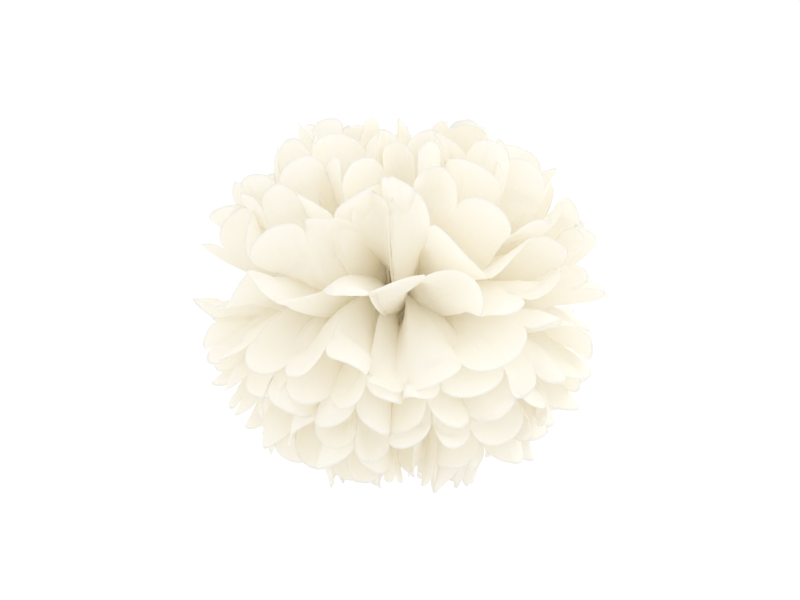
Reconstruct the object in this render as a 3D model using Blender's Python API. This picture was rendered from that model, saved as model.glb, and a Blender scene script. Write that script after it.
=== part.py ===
"""A tissue paper pom pom: twelve sheets, pleated together, tied round the middle and fluffed into a ball.

Metres, +Z up. The origin is the middle of the tie, from which the ball hangs. The pleats run along X and
fan out to +X and -X from the tie. Six sheets are pulled up and six down, so Z is the ball's axis. The lowest
of the upper six opens flat, and the others bend on towards the pole, like the petals of a dahlia.
"""

import math

import bpy

# The paper, as it was cut before folding
SHEETS = 12
SHEET_LENGTH = 0.350
SHEET_WIDTH = 0.500
PLEATS = 12
PLEAT_WIDTH = SHEET_WIDTH / PLEATS
PAPER_THICKNESS = 0.00025

# The round ends that the folded strip is trimmed to: each pleat ends in one lobe
LOBE_DEPTH = 0.021
LOBE_PLACES = (0.12, 0.5, 0.88)

# The gathered waist inside the tie
WAIST_WIDTH = 0.008
WAIST_HALF_LENGTH = 0.003
WAIST_RIPPLE = 0.0007
SHEET_PITCH = 0.0010
STACK_HEIGHT = SHEET_PITCH * (SHEETS - 1)

# How each fan opens out from the waist
FAN_HALF_ANGLE = math.radians(92)
FAN_TURN_LENGTH = 0.012
LIFT_LENGTH = 0.040
GATHER_LENGTH = 0.060
FLATTEST_PLEAT = 0.15

# How far each sheet is pulled up or down from flat, from the middle outwards, and how much further its
# petals then bend towards the pole. Beside the seams between the fans, the petals are pulled further.
UPPER_LIFTS = (1, 10, 23, 36, 50, 67)
UPPER_BENDS = (2, 32, 30, 30, 34, 50)
LOWER_LIFTS = (8, 17, 28, 40, 53, 69)
LOWER_BENDS = (20, 30, 30, 30, 32, 48)
BEND_START = 0.065
BEND_ON_SIDES = 0.7
SEAM_ZONE = math.radians(45)
SEAM_RISE = math.radians(12)
FULL_RISE_BEND = math.radians(10)

# Distances along the paper from the middle of the tie at which a fold line bends
STATIONS = (0.0, 0.004, 0.012, 0.026, 0.048, 0.090, 0.122, SHEET_LENGTH / 2 - LOBE_DEPTH)
MARCH_STEP = 0.001

# The wire tie, with its twisted tail and hanging eye
WIRE_DIAMETER = 0.0010
WIRE_CLEARANCE = 0.0006
RING_CORNER = 2 ** 0.25
WIRE_TWISTS = 4
TWIST_HEIGHT = 0.008
TWIST_RADIUS = 0.0008
STEPS_PER_TWIST = 8
RING_STEPS = 36
EYE_RADIUS = 0.0035
EYE_STEPS = 24
EYE_OPEN_STEPS = 2

TISSUE_COLOUR = (0.925, 0.872, 0.716, 1.0)
WIRE_COLOUR = (0.66, 0.66, 0.64, 1.0)


def clear_scene():
    for thing in list(bpy.data.objects):
        bpy.data.objects.remove(thing, do_unlink=True)


def plain_material(name, colour, roughness, metallic):
    material = bpy.data.materials.new(name)
    material.use_nodes = True
    shader = material.node_tree.nodes["Principled BSDF"]
    shader.inputs["Base Color"].default_value = colour
    shader.inputs["Roughness"].default_value = roughness
    shader.inputs["Metallic"].default_value = metallic
    material.diffuse_color = colour
    return material


def add_object(name, data, material):
    thing = bpy.data.objects.new(name, data)
    thing.data.materials.append(material)
    bpy.context.scene.collection.objects.link(thing)
    return thing


def ease(amount):
    """0 to 1 with a soft start and a soft end."""
    amount = min(1.0, max(0.0, amount))
    return amount * amount * (3 - 2 * amount)


def bearing_of(fold):
    return 2 * FAN_HALF_ANGLE * (fold / PLEATS - 0.5)


def pulled(lift, bend, fold):
    """The lift and the bend of one fold, which depend on how near it is to a seam between the fans."""
    bearing = abs(bearing_of(fold))
    seaward = ease((bearing - SEAM_ZONE) / (FAN_HALF_ANGLE - SEAM_ZONE))
    room = (1 - abs(lift) / (math.pi / 2)) * min(1.0, abs(bend) / FULL_RISE_BEND)
    rise = math.copysign(SEAM_RISE * room * seaward, bend)
    return lift + rise, bend * (BEND_ON_SIDES + (1 - BEND_ON_SIDES) * abs(math.sin(bearing)))


def slope_at(reach, lift, bend):
    """How steeply a fold rises at this distance from the tie."""
    raised = lift * ease((reach - WAIST_HALF_LENGTH) / LIFT_LENGTH)
    return raised + bend * ease((reach - BEND_START) / (SHEET_LENGTH / 2 - BEND_START))


def pleat_depth(reach, spacing):
    """The height of the zigzag: what the pleat's width leaves once the fan has spread its folds."""
    gathered = WAIST_RIPPLE + (PLEAT_WIDTH - WAIST_RIPPLE) * ease((reach - WAIST_HALF_LENGTH) / GATHER_LENGTH)
    return math.sqrt(max(gathered ** 2 - spacing ** 2, (FLATTEST_PLEAT * gathered) ** 2))


def plan_at(distance, fold):
    """A fold seen from above: it leaves the tie beside its neighbours, then turns to its own bearing."""
    share = fold / PLEATS - 0.5
    bearing = bearing_of(fold)
    steps = max(1, round(distance / MARCH_STEP))
    stride = distance / steps
    across, along = WAIST_WIDTH * share, 0.0
    for step in range(steps):
        turn = bearing * ease(((step + 0.5) * stride - WAIST_HALF_LENGTH / 2) / FAN_TURN_LENGTH)
        along += stride * math.cos(turn)
        across += stride * math.sin(turn)
    turn = bearing * ease((distance - WAIST_HALF_LENGTH / 2) / FAN_TURN_LENGTH)
    return along, across, turn


def profile(level, lift, bend):
    """A fold's rise from the tie, seen from the side: distance out, height and slope at each station."""
    out, height, reach = 0.0, level, 0.0
    rows = []
    for station in STATIONS + (SHEET_LENGTH / 2,):
        steps = max(1, round((station - reach) / MARCH_STEP))
        stride = (station - reach) / steps
        for step in range(steps):
            slope = slope_at(reach + (step + 0.5) * stride, lift, bend)
            out += stride * math.cos(slope)
            height += stride * math.sin(slope)
        reach = station
        rows.append((reach, out, height, slope_at(reach, lift, bend)))
    return rows


def fold_line(level, lift, bend, fold):
    """Where one fold of one sheet runs: for each station and at the lobe's tip, a point and the sheet's up.

    Folds are raised and lowered by turns. The same fold of every sheet stays in one upright curtain, so the
    pleats of the stacked sheets nest.
    """
    side = 0.5 if fold % 2 else -0.5
    line = []
    for reach, out, height, slope in profile(level, *pulled(lift, bend, fold)):
        spacing = WAIST_WIDTH / PLEATS + max(0.0, out - WAIST_HALF_LENGTH) * 2 * FAN_HALF_ANGLE / PLEATS
        rise = side * pleat_depth(reach, spacing if reach > WAIST_HALF_LENGTH else 0.0)
        along, across, turn = plan_at(max(0.0, out - rise * math.sin(slope)), fold)
        up = (-math.sin(slope) * math.cos(turn), -math.sin(slope) * math.sin(turn), math.cos(slope))
        line.append(((along, across, height + rise * math.cos(slope)), up))
    return line


def between(first, second, share):
    return tuple(a + (b - a) * share for a, b in zip(first, second))


def lobe_edge(fold, next_fold):
    """The round end of one pleat, between its two notches."""
    edge = []
    for place in LOBE_PLACES:
        across = 2 * place - 1
        out = math.sqrt(1 - across ** 2)
        ends = [
            (between(line[-2][0], line[-1][0], out), between(line[-2][1], line[-1][1], out))
            for line in (fold, next_fold)
        ]
        edge.append((between(ends[0][0], ends[1][0], place), between(ends[0][1], ends[1][1], place)))
    return edge


def fan_faces(folds, first, flip):
    """The points and faces of one fan, whose first row is shared with the other fan through the tie."""
    rows = len(STATIONS)
    points = [line[row] for row in range(1, rows) for line in folds]
    columns = len(folds)

    def corner(row, column):
        return column if row == 0 else first + (row - 1) * columns + column

    faces = []
    for column in range(columns - 1):
        for row in range(rows - 1):
            near, far = corner(row, column), corner(row + 1, column)
            next_near, next_far = corner(row, column + 1), corner(row + 1, column + 1)
            faces.append([near, far, next_far])
            faces.append([near, next_far, next_near])
        start = first + len(points)
        points.extend(lobe_edge(folds[column], folds[column + 1]))
        notch, next_notch = corner(rows - 1, column), corner(rows - 1, column + 1)
        faces.append([notch, start, start + 1])
        faces.append([notch, start + 1, next_notch])
        faces.append([start + 1, start + 2, next_notch])
    if flip:
        faces = [face[::-1] for face in faces]
    return points, faces


def mirrored(line):
    """The same fold on the other side of the tie."""
    return [((-point[0], point[1], point[2]), (-up[0], up[1], up[2])) for point, up in line]


def boundary_edges(faces):
    """The directed edges that only one face has."""
    edges = {(face[at - 1], face[at]) for face in faces for at in range(len(face))}
    return [edge for edge in edges if edge[::-1] not in edges]


def thick_sheet(name, points, faces):
    """A closed solid from a pleated surface: an upper and a lower skin, joined along the cut edge."""
    half = PAPER_THICKNESS / 2
    count = len(points)
    upper = [tuple(p + half * u for p, u in zip(point, up)) for point, up in points]
    lower = [tuple(p - half * u for p, u in zip(point, up)) for point, up in points]
    skins = faces + [[corner + count for corner in face[::-1]] for face in faces]
    edge = [[b, a, a + count, b + count] for a, b in sorted(boundary_edges(faces))]
    mesh = bpy.data.meshes.new(name)
    mesh.from_pydata(upper + lower, [], skins + edge)
    mesh.validate()
    return mesh


def pleated_sheet(name, level, lift, bend, material):
    folds = [fold_line(level, lift, bend, fold) for fold in range(PLEATS + 1)]
    points = [line[0] for line in folds]
    for lines, flip in ((folds, False), ([mirrored(line) for line in folds], True)):
        more_points, more_faces = fan_faces(lines, len(points), flip)
        points = points + more_points
        faces = more_faces if not flip else faces + more_faces
    return add_object(name, thick_sheet(name, points, faces), material)


def build_sheets(material):
    """Numbered from the lowest sheet to the highest."""
    half = SHEETS // 2
    lifts = [-lift for lift in reversed(LOWER_LIFTS)] + list(UPPER_LIFTS)
    bends = [-bend for bend in reversed(LOWER_BENDS)] + list(UPPER_BENDS)
    for number, (lift, bend) in enumerate(zip(lifts, bends)):
        level = (number - half + 0.5) * SHEET_PITCH
        name = f"tissue_sheet_{number + 1:02d}"
        pleated_sheet(name, level, math.radians(lift), math.radians(bend), material)


def squared(wave):
    """Fills out a circle's sine or cosine towards a square with round corners."""
    return math.copysign(math.sqrt(abs(wave)), wave)


def wire_route():
    """One strand down the twist, the turn round the waist, the other strand up, and the hanging eye."""
    wide = WAIST_WIDTH / 2 * RING_CORNER + WIRE_CLEARANCE + WIRE_DIAMETER / 2
    high = (STACK_HEIGHT + WAIST_RIPPLE) / 2 * RING_CORNER + WIRE_CLEARANCE + WIRE_DIAMETER / 2
    twist_foot = high + WIRE_DIAMETER
    steps = STEPS_PER_TWIST * WIRE_TWISTS

    def strand(step, start):
        angle = start + 2 * math.pi * WIRE_TWISTS * step / steps
        height = twist_foot + TWIST_HEIGHT * step / steps
        return (TWIST_RADIUS * math.sin(angle), TWIST_RADIUS * math.cos(angle), height)

    down = [strand(step, 0.0) for step in range(steps, -1, -1)]
    opening = math.asin(TWIST_RADIUS / wide) * 2
    around = []
    for step in range(RING_STEPS + 1):
        angle = opening + (2 * math.pi - 2 * opening) * step / RING_STEPS
        around.append((0.0, wide * squared(math.sin(angle)), high * squared(math.cos(angle))))
    up = [strand(step, math.pi) for step in range(steps + 1)]
    centre = twist_foot + TWIST_HEIGHT + EYE_RADIUS + WIRE_DIAMETER
    eye = []
    for step in range(1, EYE_STEPS - EYE_OPEN_STEPS):
        angle = math.pi + 2 * math.pi * step / EYE_STEPS
        eye.append((0.0, EYE_RADIUS * math.sin(angle), centre + EYE_RADIUS * math.cos(angle)))
    return down + around + up + eye


def build_tie(material):
    route = wire_route()
    curve = bpy.data.curves.new("tie_wire", "CURVE")
    curve.dimensions = "3D"
    curve.bevel_depth = WIRE_DIAMETER / 2
    curve.bevel_resolution = 1
    curve.use_fill_caps = True
    spline = curve.splines.new("POLY")
    spline.points.add(len(route) - 1)
    for point, place in zip(spline.points, route):
        point.co = (*place, 1.0)
    return add_object("tie_wire", curve, material)


def main():
    clear_scene()
    tissue = plain_material("cream tissue paper", TISSUE_COLOUR, 0.85, 0.0)
    wire = plain_material("galvanised wire", WIRE_COLOUR, 0.35, 1.0)
    build_sheets(tissue)
    build_tie(wire)


main()
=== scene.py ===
"""The looks of a hanging tissue paper pom pom, modelled around its fixed frame.

Twelve sheets are folded by rule, each from its flat cut size: fold lines fan out from the tie, the pleats
between them are cupped and crumpled, and each sheet is turned away from the one it opened from.
"""

import math

import bpy
import numpy as np
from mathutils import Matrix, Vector


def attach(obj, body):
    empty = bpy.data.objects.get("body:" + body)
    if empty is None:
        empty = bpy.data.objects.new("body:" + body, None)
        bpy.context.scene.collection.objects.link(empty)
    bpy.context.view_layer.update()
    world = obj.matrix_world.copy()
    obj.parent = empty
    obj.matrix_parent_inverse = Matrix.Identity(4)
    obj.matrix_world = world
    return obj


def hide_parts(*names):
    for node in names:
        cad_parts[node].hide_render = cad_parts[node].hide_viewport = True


bl_info = {
    "name": "Tissue Pom Pom",
    "version": (1, 0, 0),
    "blender": (4, 5, 0),
    "location": "View3D > Sidebar > Pom Pom",
    "description": "Folds tissue sheets into a hanging pom pom and lights it",
    "category": "Object",
}

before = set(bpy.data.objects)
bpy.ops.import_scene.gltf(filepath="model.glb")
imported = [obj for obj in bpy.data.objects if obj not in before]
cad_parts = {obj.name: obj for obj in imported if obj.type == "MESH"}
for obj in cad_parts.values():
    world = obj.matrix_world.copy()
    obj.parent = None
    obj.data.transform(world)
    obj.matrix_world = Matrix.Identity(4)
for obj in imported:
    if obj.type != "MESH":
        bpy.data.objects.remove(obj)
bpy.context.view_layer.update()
SHEET_NODES = sorted(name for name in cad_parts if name.startswith("tissue_sheet_"))


class PaperSettings(bpy.types.PropertyGroup):
    """The sheets as they are cut, and how they are folded and pulled apart."""

    sheet_length: bpy.props.FloatProperty(
        name="Sheet length", description="Length along the pleats, tip to tip",
        default=0.350, min=0.1, unit="LENGTH", subtype="DISTANCE")
    sheet_width: bpy.props.FloatProperty(
        name="Sheet width", description="Width across all the pleats",
        default=0.500, min=0.1, unit="LENGTH", subtype="DISTANCE")
    pleats: bpy.props.IntProperty(
        name="Pleats", description="Number of pleats folded into each sheet", default=12, min=4)
    lobe_depth: bpy.props.FloatProperty(
        name="Lobe depth", description="How deep the rounded ends of the folded strip are cut",
        default=0.021, min=0.0, unit="LENGTH", subtype="DISTANCE")
    waist_width: bpy.props.FloatProperty(
        name="Waist width", description="Width of the gathered paper inside the tie",
        default=0.008, min=0.001, unit="LENGTH", subtype="DISTANCE")
    sheet_pitch: bpy.props.FloatProperty(
        name="Sheet pitch", description="Distance from sheet to sheet inside the tie",
        default=0.001, min=0.0001, unit="LENGTH", subtype="DISTANCE")
    thickness: bpy.props.FloatProperty(
        name="Paper thickness", description="Modelled thickness of the tissue",
        default=0.00012, min=0.00002, unit="LENGTH", subtype="DISTANCE")
    disorder: bpy.props.FloatProperty(
        name="Disorder", description="How unevenly the petals are pulled apart, 0 for a machine's work",
        default=1.0, min=0.0, max=2.0, subtype="FACTOR")
    crease_height: bpy.props.FloatProperty(
        name="Crease height", description="Height of the fine creases that run out from the tie",
        default=0.0016, min=0.0, unit="LENGTH", subtype="DISTANCE")
    crease_spacing: bpy.props.FloatProperty(
        name="Crease spacing", description="Distance from one fine crease to the next",
        default=0.007, min=0.001, unit="LENGTH", subtype="DISTANCE")
    seed: bpy.props.IntProperty(
        name="Seed", description="Which uneven pom pom is made", default=7, min=0)
    paper_colour: bpy.props.StringProperty(
        name="Paper colour", description="Colour of the dyed tissue, as an sRGB hex value",
        default="#FEFDF9")
    paper_deep_colour: bpy.props.StringProperty(
        name="Deeper paper colour", description="Colour where the tissue's fibres lie thicker, as sRGB hex",
        default="#FDFBF4")
    wire_colour: bpy.props.StringProperty(
        name="Wire colour", description="Colour of the galvanised wire, as an sRGB hex value",
        default="#B9B9B4")
    wire_dark_colour: bpy.props.StringProperty(
        name="Dark wire colour", description="Colour of the zinc's darker spangles, as an sRGB hex value",
        default="#A2A29E")


class StageSettings(bpy.types.PropertyGroup):
    """The floor, the light and the camera."""

    view_distance: bpy.props.FloatProperty(
        name="View distance", description="From the camera to the tie",
        default=1.58, min=0.5, unit="LENGTH", subtype="DISTANCE")
    lens: bpy.props.FloatProperty(
        name="Lens", description="Focal length on a 36 mm sensor",
        default=85.0, min=20.0, subtype="DISTANCE_CAMERA")
    floor_drop: bpy.props.FloatProperty(
        name="Floor drop", description="How far below the tie the floor is",
        default=1.4, min=0.3, unit="LENGTH", subtype="DISTANCE")
    floor_colour: bpy.props.StringProperty(
        name="Floor colour", description="Colour of the floor, as an sRGB hex value", default="#F6F5F2")
    sky_strength: bpy.props.FloatProperty(
        name="Room light", description="Strength of the even white light from all round",
        default=1.10, min=0.0)
    key_power: bpy.props.FloatProperty(
        name="Key power", description="Power of the large soft light", default=6.0, min=0.0, unit="POWER")
    tone_lift: bpy.props.FloatProperty(
        name="Tone lift", description="Gamma of the view, which keeps the shade between the petals light",
        default=1.4, min=1.0)


# ---------------------------------------------------------------- small helpers


def ease(amount):
    """0 to 1 with a soft start and a soft end."""
    amount = np.clip(amount, 0.0, 1.0)
    return amount * amount * (3 - 2 * amount)


def linear_colour(hex_value):
    """An sRGB hex value as linear red, green, blue and alpha."""
    parts = [int(hex_value[at:at + 2], 16) / 255 for at in (1, 3, 5)]
    return [part / 12.92 if part <= 0.04045 else ((part + 0.055) / 1.055) ** 2.4 for part in parts] + [1.0]


def add_node(tree, kind, settings=None, inputs=None):
    """Adds a node; settings are its own values, and inputs are values or other nodes' sockets."""
    node = tree.nodes.new(kind)
    for name, value in (settings or {}).items():
        setattr(node, name, value)
    for key, value in (inputs or {}).items():
        if isinstance(value, bpy.types.NodeSocket):
            tree.links.new(value, node.inputs[key])
        else:
            node.inputs[key].default_value = value
    return node


def unit_vectors(vectors):
    """Each vector at length 1, and one with no length left as it is."""
    length = np.linalg.norm(vectors, axis=-1, keepdims=True)
    return vectors / np.maximum(length, 1e-9)


# ---------------------------------------------------------------- folding the sheets

# The same construction as the frame's sheets, pulled up and down a little less steeply
WAIST_HALF_LENGTH = 0.003
WAIST_RIPPLE = 0.0007
FAN_HALF_ANGLE = math.radians(92)
FAN_TURN_LENGTH = 0.012
# The fans lean towards each other just outside the tie, which closes the gap that it leaves
FAN_CLOSING = 0.12
FAN_CLOSED = 0.028
SEAM_SWING = math.radians(12)
SEAM_GAP = 0.0006
# The gap that like points of neighbouring sheets are turned to
LEAST_GAP = 0.0020
LIFT_LENGTH = 0.040
GATHER_LENGTH = 0.060
# How steeply each sheet is pulled up or down, and how much further its petals then bend towards the pole
BEND_START = 0.065
UPPER_LIFTS = (1, 9, 20, 32, 45, 61)
UPPER_BENDS = (2, 32, 31, 32, 36, 56)
LOWER_LIFTS = (8, 16, 26, 37, 49, 64)
LOWER_BENDS = (18, 30, 30, 30, 34, 54)
BEND_ON_SIDES = 0.7
# Beside the seams between the fans, the petals stand up more
SEAM_ZONE = math.radians(45)
SEAM_RISE = math.radians(12)
FULL_RISE_BEND = math.radians(10)

# How unevenly a full measure of disorder leaves the sheets
UNEVEN_PLEATS = 0.22
TILT_SPREAD = math.radians(6.5)
TILT_WAVE = math.radians(3.0)
DRIFT_SPREAD = math.radians(6.5)
BEND_SPREAD = math.radians(12)
# The fans share their end folds, which stray less, so the paper seems to run on across the seam
EDGE_TILT = math.radians(4.0)
EDGE_SPREAD = 0.6
# Where along the paper the tilts set in, and over what length
UNEVEN_START = 0.035
UNEVEN_LENGTH = 0.110

# How finely each sheet is modelled
REACH_SAMPLES = 176
COLUMNS_PER_PLEAT = 12
ROWS_TO_LOBE = 26
ROWS_IN_LOBE = 18
LOBE_START = 0.110
# Paper kept back from each pleat's width, which cups it
CUP_SLACK = 0.94
LEAST_FOLD_DEPTH = 0.10
MOST_BOW = 0.3
SHARE_BOWED_IN = 0.3
SKEW = 0.15
# How far a petal's round end curls, and where along the paper the curl begins
CURL_SPREAD = 0.35
CURL_DEPTH = 0.020
CURL_START = 0.095
# How a sheet is turned away from the next one: from where, and over what length, and how evenly
CLEAR_START = 0.010
CLEAR_LENGTH = 0.020
COVER_ROUNDS = 12
# The seam's lean begins just outside the tie
SEAM_START = 0.012


def running_sum(values, step):
    """The integral from the first sample, along the last axis."""
    steps = (values[..., 1:] + values[..., :-1]) * (step / 2)
    return np.concatenate([np.zeros_like(values[..., :1]), np.cumsum(steps, axis=-1)], axis=-1)


def uneven_shares(rng, paper):
    """How far along the fan each fold lies, from 0 to 1, with the pleats opened by uneven amounts."""
    shares = 1 + UNEVEN_PLEATS * paper.disorder * rng.uniform(-1, 1, paper.pleats)
    return np.concatenate([[0.0], np.cumsum(shares)]) / shares.sum()


def fold_lines(paper, level, lift, bend, bearings, edges, rng):
    """Fold lines of one fan as arrays of points: fold by distance along the paper by x, y, z.

    The edges are how far the first and last folds are out of line, which the other fan's share.
    """
    folds = paper.pleats + 1
    half = paper.sheet_length / 2
    reach = np.linspace(0.0, half, REACH_SAMPLES)
    step = reach[1]
    wave = np.sin(np.linspace(0, rng.uniform(1.0, 2.2) * math.pi, folds) + rng.uniform(0, 2 * math.pi))
    flop = math.cos(lift) ** 0.5
    tilt = paper.disorder * (TILT_SPREAD * rng.normal(0, 1, folds) + TILT_WAVE * flop * wave)
    drift = paper.disorder * DRIFT_SPREAD * rng.uniform(-1, 1, folds)
    tilt[[0, -1]] = paper.disorder * EDGE_TILT * edges
    drift[[0, -1]] = 0.0
    seaward = ease((np.abs(bearings) - SEAM_ZONE) / (FAN_HALF_ANGLE - SEAM_ZONE))
    room = (1 - abs(lift) / (math.pi / 2)) * min(1.0, abs(bend) / FULL_RISE_BEND)
    rise = math.copysign(SEAM_RISE * room, bend) * seaward
    bends = bend * (BEND_ON_SIDES + (1 - BEND_ON_SIDES) * np.abs(np.sin(bearings)))
    unevenness = rng.normal(0, 1, folds)
    unevenness[[0, -1]] = edges
    bends = bends + paper.disorder * BEND_SPREAD * unevenness
    outward = ease((reach - UNEVEN_START) / UNEVEN_LENGTH)
    slope = (
        (lift + rise)[:, None] * ease((reach - WAIST_HALF_LENGTH) / LIFT_LENGTH)
        + tilt[:, None] * outward
        + bends[:, None] * ease((reach - BEND_START) / (half - BEND_START))
    )
    out = running_sum(np.cos(slope), step)
    closing = 1 + FAN_CLOSING * ease(out / FAN_CLOSED) * ease((3 * FAN_CLOSED - out) / (2 * FAN_CLOSED))
    turn = bearings[:, None] * closing * ease((out - WAIST_HALF_LENGTH / 2) / FAN_TURN_LENGTH)
    turn = turn + drift[:, None] * outward
    along = running_sum(np.cos(slope) * np.cos(turn), step)
    across = running_sum(np.cos(slope) * np.sin(turn), step)
    across += (np.arange(folds) / paper.pleats - 0.5)[:, None] * paper.waist_width
    height = level + running_sum(np.sin(slope), step)
    points = np.stack([along, across, height], axis=-1)
    up = np.stack([-np.sin(slope) * np.cos(turn), -np.sin(slope) * np.sin(turn), np.cos(slope)], axis=-1)
    return reach, points, up


def zigzag(paper, reach, points, up):
    """Raises and lowers the folds by turns, by what the pleats' width leaves once they are spread."""
    pleat = paper.sheet_width / paper.pleats
    gathered = WAIST_RIPPLE + (pleat - WAIST_RIPPLE) * ease((reach - WAIST_HALF_LENGTH) / GATHER_LENGTH)
    spread = np.linalg.norm(np.diff(points, axis=0), axis=-1)
    depth = np.sqrt(np.maximum((CUP_SLACK * gathered) ** 2 - spread ** 2, (LEAST_FOLD_DEPTH * gathered) ** 2))
    rise = np.concatenate([depth[:1], (depth[1:] + depth[:-1]) / 2, depth[-1:]]) / 2
    side = np.where(np.arange(paper.pleats + 1) % 2, 1.0, -1.0)
    return points + (rise * side[:, None])[..., None] * up, gathered


def column_shares():
    """Where a pleat's columns lie across it, from 0 to 1, closer together beside the folds."""
    return (1 - np.cos(np.linspace(0, math.pi, COLUMNS_PER_PLEAT + 1))) / 2


def cupped_pleats(paper, reach, folds, gathered, rng):
    """The paper between the folds: each pleat bows, and its round end curls."""
    half = paper.sheet_length / 2
    share = column_shares()
    lobe_end = half - paper.lobe_depth * (1 - np.sqrt(1 - (2 * share - 1) ** 2))
    near = np.linspace(0, 1, ROWS_TO_LOBE + 1)[:-1, None] ** 1.15 * LOBE_START
    far = LOBE_START + np.linspace(0, 1, ROWS_IN_LOBE)[:, None] * (lobe_end - LOBE_START)[None, :]
    along = np.concatenate([np.repeat(near, len(share), axis=1), far], axis=0)
    spot = along / half * (REACH_SAMPLES - 1)
    low = np.clip(spot.astype(int), 0, REACH_SAMPLES - 2)
    part = (spot - low)[..., None]
    columns = []
    for pleat in range(paper.pleats):
        left, right = folds[pleat], folds[pleat + 1]
        chord = right - left
        tangent = np.gradient((left + right) / 2, axis=0)
        normal = unit_vectors(np.cross(tangent, chord))
        width = np.linalg.norm(chord, axis=-1)
        bow = np.sqrt(np.maximum(3 * width * (gathered - width), 0.0) / 8)
        bow_way = rng.choice([-1.0, 1.0], p=[SHARE_BOWED_IN, 1 - SHARE_BOWED_IN])
        bow = np.minimum(bow, MOST_BOW * gathered) * bow_way * rng.uniform(0.7, 1.1)
        curled = ease((reach - CURL_START) / (half - CURL_START)) * (reach / half)
        lobe_curl = rng.normal(0, CURL_SPREAD) * CURL_DEPTH * curled
        skew = rng.uniform(-SKEW, SKEW)
        hump = 4 * share * (1 - share) * (1 + skew * (2 * share - 1))
        push = (bow + lobe_curl)[:, None] * normal
        weight = share[None, :, None]
        at_low = left[low] * (1 - weight) + right[low] * weight + push[low] * hump[None, :, None]
        at_high = left[low + 1] * (1 - weight) + right[low + 1] * weight + push[low + 1] * hump[None, :, None]
        block = at_low * (1 - part) + at_high * part
        columns.append(block if pleat == 0 else block[:, 1:])
    return np.concatenate(columns, axis=1), along


def fan_surface(paper, level, lift, bend, bearings, edges, rng):
    """One fan of one sheet as a grid of points, and how far along the paper each point of a pleat lies."""
    reach, points, up = fold_lines(paper, level, lift, bend, bearings, edges, rng)
    folds, gathered = zigzag(paper, reach, points, up)
    return cupped_pleats(paper, reach, folds, gathered, rng)


def sheet_surface(paper, number, shares_by_fan, rng):
    """Both fans of one sheet, each as a grid of points from the tie outwards, with the seams they leave."""
    half = len(SHEET_NODES) // 2
    lifts = [-lift for lift in reversed(LOWER_LIFTS)] + list(UPPER_LIFTS)
    bends = [-bend for bend in reversed(LOWER_BENDS)] + list(UPPER_BENDS)
    lift, bend = math.radians(lifts[number]), math.radians(bends[number])
    level = (number - half + 0.5) * paper.sheet_pitch
    front_seam, back_seam = paper.disorder * SEAM_SWING * rng.uniform(-1, 1, 2)
    edges = rng.normal(0, EDGE_SPREAD, 2)
    fans = []
    for shares, way in zip(shares_by_fan, (1.0, -1.0)):
        first = -FAN_HALF_ANGLE - way * front_seam
        last = FAN_HALF_ANGLE + way * back_seam
        grid, along = fan_surface(paper, level, lift, bend, first + shares * (last - first), edges, rng)
        fans.append(grid)
    return fans, along_grid(along, grid), (front_seam, back_seam)


def smooth_cover(needed, rounds):
    """A smooth field that is nowhere lower than the one needed."""
    cover = needed.copy()
    for _ in range(rounds):
        for axis in (0, 1):
            padded = np.pad(cover, [(1, 1) if axis == other else (0, 0) for other in (0, 1)], mode="edge")
            cut = [slice(None), slice(None)]
            parts = []
            for start in (0, 1, 2):
                cut[axis] = slice(start, start + cover.shape[axis])
                parts.append(padded[tuple(cut)])
            cover = (parts[0] + 2 * parts[1] + parts[2]) / 4
        cover = np.maximum(cover, needed)
    return cover


def lay_clear(grid, under, reach, way):
    """Turns each point of a sheet about the tie, away from the same point of the sheet that it opened from.

    It compares like points only, so folds that are out of step may still cross.
    """
    out, height = np.hypot(grid[..., 0], grid[..., 1]), way * grid[..., 2]
    angle = np.arctan2(height, out)
    other = np.arctan2(way * under[..., 2], np.hypot(under[..., 0], under[..., 1]))
    away = np.hypot(out, height)
    gap = LEAST_GAP / np.maximum(away, CLEAR_START)
    needed = np.maximum(other + gap - angle, 0.0) * ease((reach - CLEAR_START) / CLEAR_LENGTH)
    turn = smooth_cover(needed, COVER_ROUNDS)
    scale = away * np.cos(angle + turn) / np.maximum(out, 1e-6)
    moved = grid.copy()
    moved[..., 0] *= scale
    moved[..., 1] *= scale
    moved[..., 2] = way * away * np.sin(angle + turn)
    return moved


def closed_seams(fans, reach, seams):
    """Presses each fan's end pleats against the seam between the fans."""
    for grid, way in zip(fans, (1.0, -1.0)):
        distance = np.hypot(grid[..., 0], grid[..., 1])
        lean = np.where(grid[..., 1] < 0, *seams)
        seam = -way * np.tan(lean) * np.maximum(distance - SEAM_START, 0.0)
        grid[..., 0] = np.maximum(grid[..., 0], seam + np.minimum(reach, SEAM_GAP))
    other = fans[1] * np.array([-1.0, 1.0, 1.0])
    return np.concatenate([other[:0:-1], fans[0]]), np.concatenate([-reach[:0:-1], reach])


def folded_sheets(paper, rng):
    """Every sheet's grid from tip to tip through the tie, from the lowest to the highest."""
    shared = [uneven_shares(rng, paper) for fan in range(2)]
    sheets = [sheet_surface(paper, number, shared, rng) for number in range(len(SHEET_NODES))]
    middle = len(SHEET_NODES) // 2
    upwards = [(number, number - 1, 1.0) for number in range(middle + 1, len(SHEET_NODES))]
    downwards = [(number, number + 1, -1.0) for number in range(middle - 1, -1, -1)]
    for number, neighbour, way in upwards + downwards:
        fans, reach, seams = sheets[number]
        for fan in range(2):
            fans[fan] = lay_clear(fans[fan], sheets[neighbour][0][fan], reach, way)
    return [closed_seams(*sheet) for sheet in sheets]


def along_grid(along, grid):
    """Distance along the paper for every column of a fan's grid."""
    repeats = (grid.shape[1] - 1) // (along.shape[1] - 1)
    return np.concatenate([along[:, :1]] + [along[:, 1:]] * repeats, axis=1)


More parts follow.
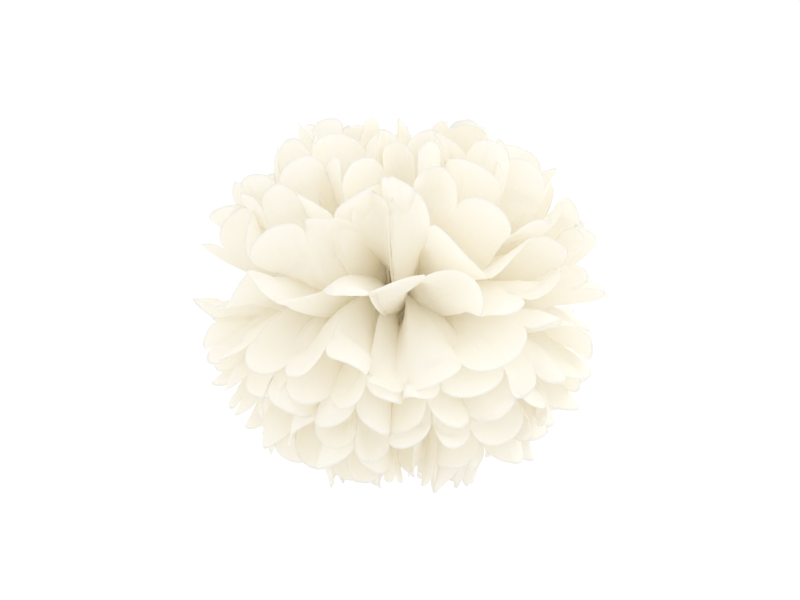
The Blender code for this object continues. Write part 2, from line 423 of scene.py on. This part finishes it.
def mesh_from_grid(name, grid, reach, paper):
    """A quad mesh of the folded surface that remembers where each point was on the flat sheet."""
    rows, columns = grid.shape[:2]
    corner = np.arange(rows * columns).reshape(rows, columns)
    quads = np.stack([corner[:-1, :-1], corner[1:, :-1], corner[1:, 1:], corner[:-1, 1:]], axis=-1)
    mesh = bpy.data.meshes.new(name)
    mesh.from_pydata(grid.reshape(-1, 3).tolist(), [], quads.reshape(-1, 4).tolist())
    along = mesh.attributes.new("along", "FLOAT", "POINT")
    along.data.foreach_set("value", reach.reshape(-1))
    share = column_shares()
    across = np.concatenate([[0.0]] + [pleat + share[1:] for pleat in range(paper.pleats)])
    across = np.broadcast_to(across * paper.sheet_width / paper.pleats, (rows, columns))
    sideways = mesh.attributes.new("across", "FLOAT", "POINT")
    sideways.data.foreach_set("value", np.ascontiguousarray(across).reshape(-1))
    return mesh


# ---------------------------------------------------------------- crumpling and thickness

# A crease is this many times as long as it is wide
CREASE_STRETCH = 7.0
# The creases start just outside the tie, are full a little further out and ease towards the petals' ends
CREASES_START, CREASES_FULL = 0.008, 0.050
CREASES_EASE, CREASES_EASED = 0.060, 0.170
EASED_HEIGHT = 0.55
# Far less than the paper's thickness, so only the doubled points of its edges meet
MERGE_DISTANCE = 1e-7


def crease_heights(tree, start):
    """Nodes for half the height of the creases, from where each point lies on the flat sheet."""
    along = add_node(tree, "GeometryNodeInputNamedAttribute", {"data_type": "FLOAT"}, {"Name": "along"})
    across = add_node(tree, "GeometryNodeInputNamedAttribute", {"data_type": "FLOAT"}, {"Name": "across"})
    length = add_node(tree, "ShaderNodeMath", {"operation": "MULTIPLY"},
                      {0: start["Crease spacing"], 1: CREASE_STRETCH})
    sideways = add_node(tree, "ShaderNodeMath", {"operation": "DIVIDE"},
                        {0: across.outputs["Attribute"], 1: start["Crease spacing"]})
    lengthways = add_node(tree, "ShaderNodeMath", {"operation": "DIVIDE"},
                          {0: along.outputs["Attribute"], 1: length.outputs[0]})
    place = add_node(tree, "ShaderNodeCombineXYZ", None,
                     {"X": sideways.outputs[0], "Y": lengthways.outputs[0], "Z": start["Seed"]})
    noise = add_node(tree, "ShaderNodeTexNoise", {"noise_dimensions": "3D"},
                     {"Vector": place.outputs[0], "Scale": 1.0, "Detail": 2.0, "Roughness": 0.45})
    centred = add_node(tree, "ShaderNodeMath", {"operation": "SUBTRACT"}, {0: noise.outputs[0], 1: 0.5})
    from_tie = add_node(tree, "ShaderNodeMath", {"operation": "ABSOLUTE"}, {0: along.outputs["Attribute"]})
    fade = add_node(tree, "ShaderNodeMapRange", {"interpolation_type": "SMOOTHSTEP"},
                    {"Value": from_tie.outputs[0], "From Min": CREASES_START, "From Max": CREASES_FULL,
                     "To Min": 0.0, "To Max": 1.0})
    settle = add_node(tree, "ShaderNodeMapRange", {"interpolation_type": "SMOOTHSTEP"},
                      {"Value": from_tie.outputs[0], "From Min": CREASES_EASE, "From Max": CREASES_EASED,
                       "To Min": 1.0, "To Max": EASED_HEIGHT})
    full = add_node(tree, "ShaderNodeMath", {"operation": "MULTIPLY"},
                    {0: centred.outputs[0], 1: start["Crease height"]})
    strength = add_node(tree, "ShaderNodeMath", {"operation": "MULTIPLY"},
                        {0: fade.outputs["Result"], 1: settle.outputs["Result"]})
    height = add_node(tree, "ShaderNodeMath", {"operation": "MULTIPLY"},
                      {0: full.outputs[0], 1: strength.outputs[0]})
    return height.outputs[0]


def crumple_tree():
    """Geometry nodes that crease the folded sheet along its length and give it its thickness."""
    tree = bpy.data.node_groups.new("Crumple and thicken", "GeometryNodeTree")
    tree.interface.new_socket("Geometry", in_out="INPUT", socket_type="NodeSocketGeometry")
    for name in ("Crease height", "Crease spacing", "Paper thickness", "Seed"):
        tree.interface.new_socket(name, in_out="INPUT", socket_type="NodeSocketFloat")
    tree.interface.new_socket("Material", in_out="INPUT", socket_type="NodeSocketMaterial")
    tree.interface.new_socket("Geometry", in_out="OUTPUT", socket_type="NodeSocketGeometry")
    start = add_node(tree, "NodeGroupInput").outputs
    height = crease_heights(tree, start)
    doubled = add_node(tree, "ShaderNodeMath", {"operation": "MULTIPLY"}, {0: height, 1: 2.0})
    normal = add_node(tree, "GeometryNodeInputNormal")
    offset = add_node(tree, "ShaderNodeVectorMath", {"operation": "SCALE"},
                      {0: normal.outputs[0], "Scale": doubled.outputs[0]})
    creased = add_node(tree, "GeometryNodeSetPosition", None,
                       {"Geometry": start["Geometry"], "Offset": offset.outputs[0]})
    front = add_node(tree, "GeometryNodeExtrudeMesh", {"mode": "FACES"},
                     {"Mesh": creased.outputs[0], "Offset Scale": start["Paper thickness"],
                      "Individual": False})
    back = add_node(tree, "GeometryNodeFlipFaces", None, {"Mesh": creased.outputs[0]})
    joined = add_node(tree, "GeometryNodeJoinGeometry")
    tree.links.new(front.outputs["Mesh"], joined.inputs[0])
    tree.links.new(back.outputs[0], joined.inputs[0])
    closed = add_node(tree, "GeometryNodeMergeByDistance", None,
                      {"Geometry": joined.outputs[0], "Distance": MERGE_DISTANCE})
    smooth = add_node(tree, "GeometryNodeSetShadeSmooth", None, {"Geometry": closed.outputs[0]})
    real = add_node(tree, "GeometryNodeRealizeInstances", None, {"Geometry": smooth.outputs[0]})
    finished = add_node(tree, "GeometryNodeSetMaterial", None,
                        {"Geometry": real.outputs[0], "Material": start["Material"]})
    add_node(tree, "NodeGroupOutput", None, {"Geometry": finished.outputs[0]})
    return tree


def through_tree(name, mesh, tree, values):
    """Runs a mesh through a geometry node tree and returns the result as a plain object."""
    source = bpy.data.objects.new(name + "_flat", mesh)
    bpy.context.scene.collection.objects.link(source)
    modifier = source.modifiers.new("Crumple", "NODES")
    modifier.node_group = tree
    for socket in tree.interface.items_tree:
        if socket.in_out == "INPUT" and socket.name in values:
            modifier[socket.identifier] = values[socket.name]
    evaluated = source.evaluated_get(bpy.context.evaluated_depsgraph_get())
    result = bpy.data.meshes.new_from_object(evaluated)
    bpy.data.objects.remove(source, do_unlink=True)
    result.name = name
    piece = bpy.data.objects.new(name, result)
    bpy.context.scene.collection.objects.link(piece)
    return piece


# ---------------------------------------------------------------- materials


def radial_creases(tree):
    """Fine creases 2.2 mm apart that run out from the tie, drawn a little coarser than real ones to show."""
    crease_spacing, crease_length = 0.0022, 0.045
    along = add_node(tree, "ShaderNodeAttribute", {"attribute_name": "along"}).outputs["Fac"]
    across = add_node(tree, "ShaderNodeAttribute", {"attribute_name": "across"}).outputs["Fac"]
    sideways = add_node(tree, "ShaderNodeMath", {"operation": "DIVIDE"}, {0: across, 1: crease_spacing})
    lengthways = add_node(tree, "ShaderNodeMath", {"operation": "DIVIDE"}, {0: along, 1: crease_length})
    place = add_node(tree, "ShaderNodeCombineXYZ", None,
                     {"X": sideways.outputs[0], "Y": lengthways.outputs[0]})
    noise = add_node(tree, "ShaderNodeTexNoise", None,
                     {"Vector": place.outputs[0], "Scale": 1.0, "Detail": 3.0, "Roughness": 0.6})
    return noise.outputs[0]


def tissue_paper(paper):
    """Tissue paper, cream dyed, machine glazed and crumpled by hand.

    Half of the light falls through it and half bounces off, so a petal is brightest where one sheet catches
    the light and turns a deeper cream where several lie over each other. Its fibres cloud it a little.
    """
    material = bpy.data.materials.new("cream tissue paper")
    material.use_nodes = True
    tree = material.node_tree
    tree.nodes.clear()
    place = add_node(tree, "ShaderNodeTexCoord").outputs["Object"]
    cloud_spacing, crinkle_spacing = 0.009, 0.0045
    light_let_through = 0.50
    clouds = add_node(tree, "ShaderNodeTexNoise", None,
                      {"Vector": place, "Scale": 1 / cloud_spacing, "Detail": 3.0, "Roughness": 0.6})
    colour = add_node(tree, "ShaderNodeMix", {"data_type": "RGBA"},
                      {"Factor": clouds.outputs[0], "A": linear_colour(paper.paper_colour),
                       "B": linear_colour(paper.paper_deep_colour)})
    crinkle = add_node(tree, "ShaderNodeTexNoise", None,
                       {"Vector": place, "Scale": 1 / crinkle_spacing, "Detail": 3.0, "Roughness": 0.55})
    crushed = add_node(tree, "ShaderNodeBump", None,
                       {"Strength": 0.35, "Distance": 0.0005, "Height": crinkle.outputs[0]})
    bump = add_node(tree, "ShaderNodeBump", None,
                    {"Strength": 0.6, "Distance": 0.0009, "Height": radial_creases(tree),
                     "Normal": crushed.outputs[0]})
    surface = add_node(tree, "ShaderNodeBsdfPrincipled", None,
                       {"Base Color": colour.outputs["Result"], "Roughness": 0.85,
                        "Specular IOR Level": 0.2, "Normal": bump.outputs[0]})
    through = add_node(tree, "ShaderNodeBsdfTranslucent", None,
                       {"Color": colour.outputs["Result"], "Normal": bump.outputs[0]})
    mixed = add_node(tree, "ShaderNodeMixShader", None,
                     {0: light_let_through, 1: surface.outputs[0], 2: through.outputs[0]})
    add_node(tree, "ShaderNodeOutputMaterial", None, {"Surface": mixed.outputs[0]})
    return material


def galvanised_wire(paper):
    """Soft steel wire, drawn and dipped in zinc: a dull metal with a fine spangle of two greys."""
    material = bpy.data.materials.new("galvanised steel wire")
    material.use_nodes = True
    tree = material.node_tree
    shader = tree.nodes["Principled BSDF"]
    place = add_node(tree, "ShaderNodeTexCoord").outputs["Object"]
    spangle_spacing = 0.0012
    spangle = add_node(tree, "ShaderNodeTexNoise", None,
                       {"Vector": place, "Scale": 1 / spangle_spacing, "Detail": 2.0})
    colour = add_node(tree, "ShaderNodeMix", {"data_type": "RGBA"},
                      {"Factor": spangle.outputs[0], "A": linear_colour(paper.wire_dark_colour),
                       "B": linear_colour(paper.wire_colour)})
    tree.links.new(colour.outputs["Result"], shader.inputs["Base Color"])
    shader.inputs["Metallic"].default_value = 1.0
    shader.inputs["Roughness"].default_value = 0.38
    return material


def painted_floor(stage):
    """Matt white emulsion, rolled on: it gives no shine, so the floor melts into the room."""
    material = bpy.data.materials.new("matt painted floor")
    material.use_nodes = True
    shader = material.node_tree.nodes["Principled BSDF"]
    shader.inputs["Base Color"].default_value = linear_colour(stage.floor_colour)
    shader.inputs["Roughness"].default_value = 0.9
    return material


# ---------------------------------------------------------------- operators


class POMPOM_OT_fold_sheets(bpy.types.Operator):
    """Folds, fluffs and crumples every tissue sheet"""

    bl_idname = "pompom.fold_sheets"
    bl_label = "Fold the tissue sheets"

    def execute(self, context):
        paper = context.scene.pompom_paper
        if len(SHEET_NODES) != len(UPPER_LIFTS) + len(LOWER_LIFTS):
            raise RuntimeError("The frame doesn't hold one node for each tissue sheet")
        rng = np.random.default_rng(paper.seed)
        tree = crumple_tree()
        tissue = tissue_paper(paper)
        sheets = folded_sheets(paper, rng)
        for number, node in enumerate(SHEET_NODES):
            grid, reach = sheets[number]
            name = "petals_" + node[-2:]
            mesh = mesh_from_grid(name, grid, reach, paper)
            piece = through_tree(name, mesh, tree, {
                "Crease height": paper.crease_height, "Crease spacing": paper.crease_spacing,
                "Paper thickness": paper.thickness, "Seed": 10.0 * number, "Material": tissue})
            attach(piece, "root")
            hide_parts(node)
        return {"FINISHED"}


class POMPOM_OT_finish_tie(bpy.types.Operator):
    """Gives the wire tie its zinc finish"""

    bl_idname = "pompom.finish_tie"
    bl_label = "Finish the wire tie"

    def execute(self, context):
        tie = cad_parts["tie_wire"]
        tie.data.materials.clear()
        tie.data.materials.append(galvanised_wire(context.scene.pompom_paper))
        return {"FINISHED"}


class POMPOM_OT_set_stage(bpy.types.Operator):
    """Lays the floor, hangs the lights and places the camera"""

    bl_idname = "pompom.set_stage"
    bl_label = "Set the stage"

    def execute(self, context):
        stage = context.scene.pompom_stage
        lay_floor(stage)
        light_room(context.scene, stage)
        place_camera(context.scene, stage)
        return {"FINISHED"}


def lay_floor(stage):
    """A square floor, well below the hanging ball."""
    half = 6.0
    mesh = bpy.data.meshes.new("floor")
    corners = [(-half, -half), (half, -half), (half, half), (-half, half)]
    mesh.from_pydata([(x, y, -stage.floor_drop) for x, y in corners], [], [(0, 1, 2, 3)])
    mesh.materials.append(painted_floor(stage))
    floor = bpy.data.objects.new("floor", mesh)
    bpy.context.scene.collection.objects.link(floor)


def light_room(scene, stage):
    """An even white room, with a large soft light on the right and a weaker one on the left."""
    world = bpy.data.worlds.new("white room")
    world.use_nodes = True
    background = world.node_tree.nodes["Background"]
    background.inputs["Color"].default_value = (1.0, 1.0, 1.0, 1.0)
    background.inputs["Strength"].default_value = stage.sky_strength
    scene.world = world
    aim = Vector((0.0, 0.0, 0.0))
    for name, spot, size, share in (
        ("key", (1.6, -0.5, 0.9), 1.2, 1.0),
        ("fill", (-1.5, -1.4, 0.4), 1.6, 0.2),
    ):
        lamp = bpy.data.lights.new(name, "AREA")
        lamp.shape = "DISK"
        lamp.size = size
        lamp.energy = stage.key_power * share
        light = bpy.data.objects.new(name, lamp)
        light.location = spot
        light.rotation_euler = (aim - Vector(spot)).to_track_quat("-Z", "Y").to_euler()
        scene.collection.objects.link(light)


def place_camera(scene, stage):
    """A level camera in front, with enough bounces for light to reach the paper deep inside the ball."""
    most_bounces = 64
    lens = bpy.data.cameras.new("camera")
    lens.lens = stage.lens
    lens.sensor_width = 36.0
    camera = bpy.data.objects.new("camera", lens)
    camera.location = (0.0, -stage.view_distance, 0.0)
    camera.rotation_euler = (math.pi / 2, 0.0, 0.0)
    scene.collection.objects.link(camera)
    scene.camera = camera
    scene.view_settings.view_transform = "Standard"
    scene.view_settings.gamma = stage.tone_lift
    scene.cycles.max_bounces = most_bounces
    scene.cycles.diffuse_bounces = most_bounces
    scene.cycles.transmission_bounces = most_bounces


class POMPOM_PT_sidebar(bpy.types.Panel):
    """Sizes, colours and steps of the pom pom"""

    bl_label = "Pom Pom"
    bl_idname = "POMPOM_PT_sidebar"
    bl_space_type = "VIEW_3D"
    bl_region_type = "UI"
    bl_category = "Pom Pom"

    def draw(self, context):
        layout = self.layout
        for settings in (context.scene.pompom_paper, context.scene.pompom_stage):
            column = layout.column()
            for name in settings.__annotations__:
                column.prop(settings, name)
        for step in STEPS:
            layout.operator(step.bl_idname)


STEPS = (POMPOM_OT_fold_sheets, POMPOM_OT_finish_tie, POMPOM_OT_set_stage)
CLASSES = (PaperSettings, StageSettings, *STEPS, POMPOM_PT_sidebar)


def register():
    for one in CLASSES:
        bpy.utils.register_class(one)
    bpy.types.Scene.pompom_paper = bpy.props.PointerProperty(type=PaperSettings)
    bpy.types.Scene.pompom_stage = bpy.props.PointerProperty(type=StageSettings)


def unregister():
    del bpy.types.Scene.pompom_stage
    del bpy.types.Scene.pompom_paper
    for one in reversed(CLASSES):
        bpy.utils.unregister_class(one)


def main():
    register()
    bpy.ops.pompom.fold_sheets()
    bpy.ops.pompom.finish_tie()
    bpy.ops.pompom.set_stage()


if __name__ == "__main__":
    main()
